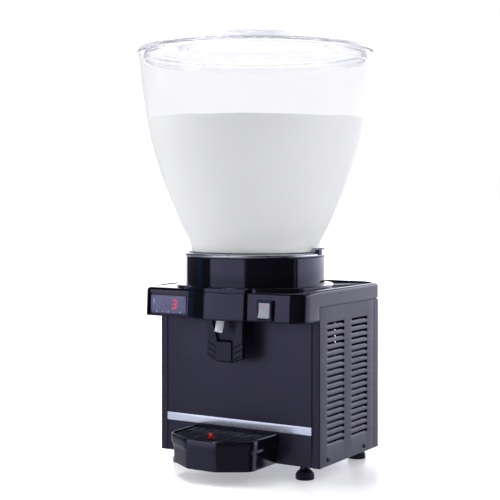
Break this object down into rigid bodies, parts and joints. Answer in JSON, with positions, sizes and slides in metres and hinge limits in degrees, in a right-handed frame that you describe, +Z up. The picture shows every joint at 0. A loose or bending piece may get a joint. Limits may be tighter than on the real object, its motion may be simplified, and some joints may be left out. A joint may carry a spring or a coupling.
{
  "type": "cold drink dispenser",
  "caption": "Counter-top cold drink dispenser: a clear lidded bowl on a refrigerated cup, a black cabinet, a push-lever tap and a drip tray.",
  "frame": {"origin": "on the floor under the bowl's axis", "axes": "+Z up along the bowl's axis, -Y to the front where the tap is, +X to the right seen from the front"},
  "size_m": [0.3746, 0.3746, 0.6796],
  "materials": {
    "cabinet_paint": "satin black powder coat",
    "zinc_steel": "zinc plated sheet",
    "trim_metal": "brushed, clear lacquer",
    "screw_black": "black oxide",
    "gloss_black": "high gloss moulding",
    "matte_black": "fine textured moulding",
    "stainless": "fine brushed",
    "copper": "drawn copper",
    "foam": "closed cell foam",
    "seal_rubber": "soft moulded",
    "controller_panel": "smoked window",
    "milky_silicone": "soft white silicone",
    "white_plastic": "food grade moulding",
    "motor_iron": "painted casting",
    "compressor_paint": "gloss black enamel",
    "fin_aluminium": "mill finish",
    "board_green": "solder mask",
    "clear_bowl": "clear moulded",
    "blue_clear": "clear moulded, blue tint",
    "milk": "white liquid",
    "rocker_grey": "translucent grey",
    "float_red": "moulded red"
  },
  "bodies": {
    "cabinet": {"front_panel": "cabinet_paint", "side_panel_right": "cabinet_paint", "side_panel_left": "cabinet_paint", "rear_panel": "cabinet_paint", "base_pan": "zinc_steel", "corner_posts": "zinc_steel", "deck_plate": "zinc_steel", "foot_bushes": "zinc_steel", "motor_bracket": "zinc_steel", "board_bracket": "zinc_steel", "lever_pin": "zinc_steel", "lever_spring": "zinc_steel", "trim_strip": "trim_metal", "panel_screws": "screw_black", "head_cover": "gloss_black", "collar": "gloss_black", "head_floor": "matte_black", "lock_post": "matte_black", "controller_body": "matte_black", "switch_frame": "matte_black", "fan_shroud": "matte_black", "cord_gland": "matte_black", "cooling_cup": "stainless", "impeller_post": "stainless", "evaporator_jacket": "copper", "filter_drier": "copper", "refrigerant_lines": "copper", "cup_foam": "foam", "bowl_seal": "seal_rubber", "compressor_grommets": "seal_rubber", "controller_face": "controller_panel", "tap_nozzle": "milky_silicone", "tap_body": "white_plastic", "mixer_motor": "motor_iron", "fan_motor": "motor_iron", "compressor": "compressor_paint", "condenser": "fin_aluminium", "control_board": "board_green"},
    "bowl": {"bowl": "clear_bowl", "bowl_tab": "blue_clear", "drink": "milk"},
    "lid": {"lid": "clear_bowl"},
    "lever": {"tap_lever": "matte_black"},
    "rocker": {"rocker": "rocker_grey"},
    "impeller": {"impeller": "white_plastic"},
    "rotor": {"drive_rotor": "motor_iron"},
    "fan": {"fan_blades": "fin_aluminium"},
    "tray": {"drip_tray": "gloss_black"},
    "grille": {"drip_grille": "matte_black"},
    "float": {"float_button": "float_red"},
    "foot_front_left": {"foot_front_left": "matte_black"},
    "foot_front_right": {"foot_front_right": "matte_black"},
    "foot_rear_left": {"foot_rear_left": "matte_black"},
    "foot_rear_right": {"foot_rear_right": "matte_black"}
  },
  "joints": [
    {"name": "bowl_lift", "type": "slide", "parent": "cabinet", "child": "bowl", "axis": [0, 0, 1], "range_m": [0, 0.1]},
    {"name": "lid_lift", "type": "slide", "parent": "bowl", "child": "lid", "axis": [0, 0, 1], "range_m": [0, 0.06]},
    {"name": "lever_push", "type": "hinge", "parent": "cabinet", "child": "lever", "pos_m": [0, -0.07, 0.2482], "axis": [1, 0, 0], "range_deg": [0, 15], "stiffness_Nm_per_rad": 0.6, "springref_deg": -11.46},
    {"name": "rocker_tip", "type": "hinge", "parent": "cabinet", "child": "rocker", "pos_m": [0.085, -0.112, 0.2585], "axis": [1, 0, 0], "range_deg": [0, 16]},
    {"name": "rotor_spin", "type": "hinge", "parent": "cabinet", "child": "rotor", "pos_m": [0, 0, 0.25], "axis": [0, 0, 1], "continuous": true},
    {"name": "impeller_spin", "type": "hinge", "parent": "cabinet", "child": "impeller", "pos_m": [0, 0, 0.27], "axis": [0, 0, 1], "continuous": true},
    {"name": "fan_spin", "type": "hinge", "parent": "cabinet", "child": "fan", "pos_m": [0.09, 0.041, 0.112], "axis": [1, 0, 0], "continuous": true},
    {"name": "tray_pull", "type": "slide", "parent": "cabinet", "child": "tray", "axis": [0, -1, 0], "range_m": [0, 0.08]},
    {"name": "grille_lift", "type": "slide", "parent": "tray", "child": "grille", "axis": [0, 0, 1], "range_m": [0, 0.05]},
    {"name": "float_rise", "type": "slide", "parent": "tray", "child": "float", "axis": [0, 0, 1], "range_m": [0, 0.008]},
    {"name": "foot_front_left_turn", "type": "hinge", "parent": "cabinet", "child": "foot_front_left", "pos_m": [-0.113, -0.041, 0.01], "axis": [0, 0, 1], "continuous": true},
    {"name": "foot_rear_left_turn", "type": "hinge", "parent": "cabinet", "child": "foot_rear_left", "pos_m": [-0.113, 0.133, 0.01], "axis": [0, 0, 1], "continuous": true},
    {"name": "foot_front_right_turn", "type": "hinge", "parent": "cabinet", "child": "foot_front_right", "pos_m": [0.113, -0.041, 0.01], "axis": [0, 0, 1], "continuous": true},
    {"name": "foot_rear_right_turn", "type": "hinge", "parent": "cabinet", "child": "foot_rear_right", "pos_m": [0.113, 0.133, 0.01], "axis": [0, 0, 1], "continuous": true}
  ],
  "couplings": [
    {"joint": "impeller_spin", "follows": "rotor_spin", "ratio": 1}
  ]
}
